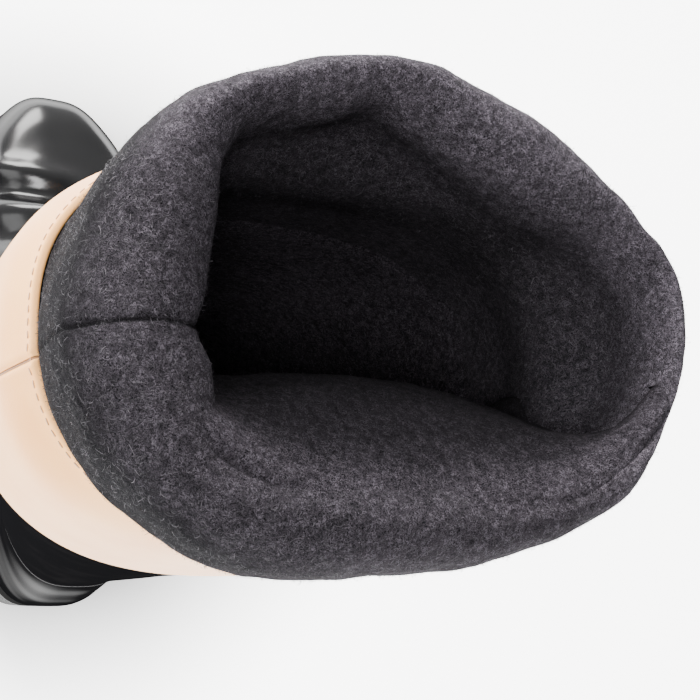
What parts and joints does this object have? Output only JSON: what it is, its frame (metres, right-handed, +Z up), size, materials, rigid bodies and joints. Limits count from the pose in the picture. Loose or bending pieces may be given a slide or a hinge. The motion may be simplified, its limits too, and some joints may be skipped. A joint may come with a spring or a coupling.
{
  "type": "tall boot",
  "caption": "Tall two-tone boot with a hollow leather foot and shaft, a pale leather band at the top and a thick felt lining rolled over the opening.",
  "frame": {"origin": "on the floor under the middle of the boot's box", "axes": "+Z up along the shaft, -Y towards the toe, +X to the medial side"},
  "size_m": [0.1492, 0.252, 0.39],
  "materials": {
    "black_rubber": "matte moulded rubber",
    "grey_sock": "felted cloth",
    "black_leather": "smooth and glossy",
    "tan_leather": "smooth, satin",
    "charcoal_felt": "thick brushed felt"
  },
  "bodies": {
    "root": {"outsole": "black_rubber", "heel": "black_rubber", "insole": "grey_sock", "upper": "black_leather", "shaft": "black_leather", "top_band": "tan_leather", "felt_collar": "charcoal_felt"}
  },
  "joints": []
}
